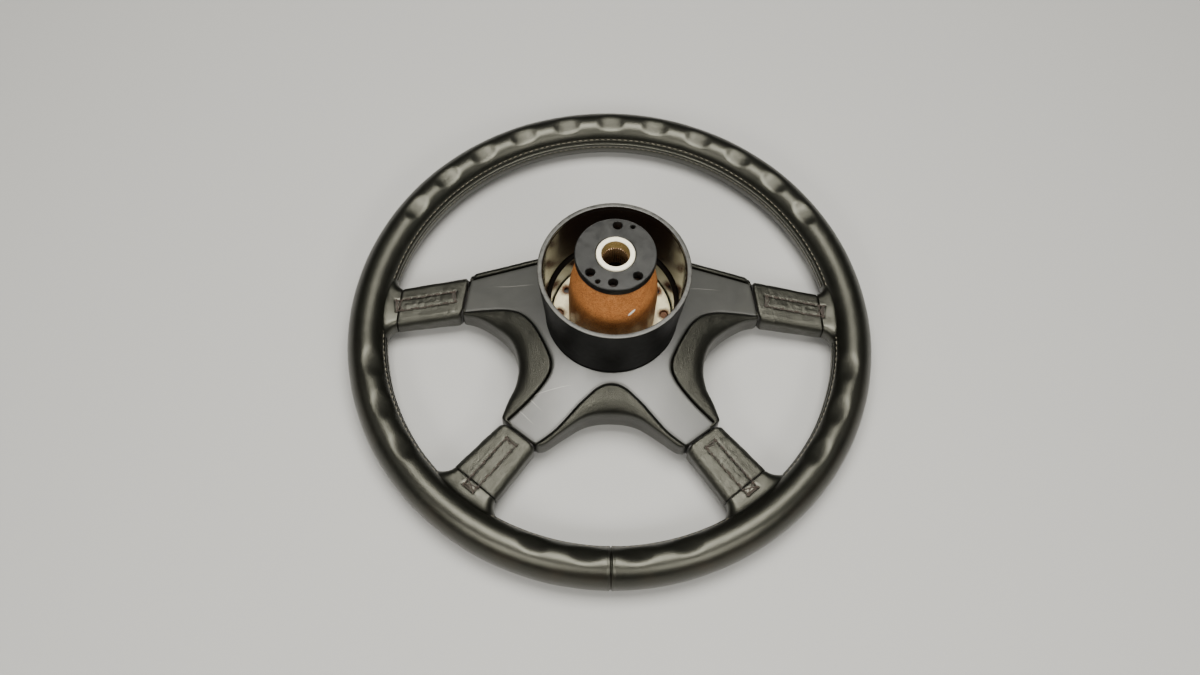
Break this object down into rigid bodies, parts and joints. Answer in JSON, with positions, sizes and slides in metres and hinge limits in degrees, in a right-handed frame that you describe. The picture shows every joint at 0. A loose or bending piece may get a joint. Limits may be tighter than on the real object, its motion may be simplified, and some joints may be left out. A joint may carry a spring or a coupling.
{
  "type": "four spoke steering wheel",
  "caption": "Four-spoke leather steering wheel with splined boss, tall boss collar, laced spokes, finger-scooped rim and horn push.",
  "frame": {"origin": "on the wheel's axis in the plane that the front of the rim touches when the wheel lies face down", "axes": "+Z along the wheel axis from the driver's side towards the steering column, +Y to the top of the wheel, +X to the right as seen from the column side"},
  "size_m": [0.38, 0.38, 0.1289],
  "materials": {
    "leather": "black smooth leather with fine grain, satin, worn brownish low on the outside",
    "foam": "moulded foam padding",
    "rim_steel": "bare steel",
    "rim_thread": "off-white sewing thread",
    "spider_steel": "pressed steel, black coated, a little rust",
    "spoke_leather": "black leather, fine grain, creased",
    "lace_thread": "dark red-brown lacing thread",
    "cover_plastic": "satin black moulded plastic with light scratches",
    "pad_skin": "soft fine-grained black skin",
    "flange_steel": "cream zinc plating with rust round the holes",
    "bell_coat": "orange-brown speckled primer, satin",
    "disc_plastic": "satin dark grey",
    "sleeve_steel": "bright machined end face, brown oiled bore",
    "bolt_steel": "rusty steel",
    "collar_plastic": "black, matt outside, glossy inside",
    "button_plastic": "fine-grained black plastic",
    "bezel_plastic": "satin black plastic",
    "housing_plastic": "moulded black plastic",
    "contact_brass": "brass",
    "insulator_board": "brown board",
    "spring_steel": "spring steel"
  },
  "bodies": {
    "wheel": {"rim_leather": "leather", "rim_foam": "foam", "rim_core_ring": "rim_steel", "rim_seam_thread": "rim_thread", "spider_plate": "spider_steel", "rear_cover": "cover_plastic", "centre_pad": "pad_skin", "boss_flange": "flange_steel", "boss_bell": "bell_coat", "contact_disc": "disc_plastic", "hub_sleeve": "sleeve_steel", "boss_collar": "collar_plastic", "horn_bezel": "bezel_plastic", "horn_housing": "housing_plastic", "horn_contact_fixed": "contact_brass", "horn_insulator": "insulator_board", "horn_spring": "spring_steel", "horn_terminal": "contact_brass", "spoke_leather_ul": "spoke_leather", "spoke_foam_ul": "foam", "lace_thread_ul": "lace_thread", "spoke_leather_ur": "spoke_leather", "spoke_foam_ur": "foam", "lace_thread_ur": "lace_thread", "spoke_leather_ll": "spoke_leather", "spoke_foam_ll": "foam", "lace_thread_ll": "lace_thread", "spoke_leather_lr": "spoke_leather", "spoke_foam_lr": "foam", "lace_thread_lr": "lace_thread", "boss_bolt_1": "bolt_steel", "boss_bolt_2": "bolt_steel", "boss_bolt_3": "bolt_steel", "boss_bolt_4": "bolt_steel", "boss_bolt_5": "bolt_steel", "boss_bolt_6": "bolt_steel"},
    "horn_push": {"horn_button": "button_plastic", "horn_contact_moving": "contact_brass"}
  },
  "joints": [
    {"name": "horn_press", "type": "slide", "parent": "wheel", "child": "horn_push", "axis": [0, 0, 1], "range_m": [0, 0.0025], "stiffness_N_per_m": 2500, "springref_m": -0.002, "deforming": ["horn_spring"]}
  ]
}
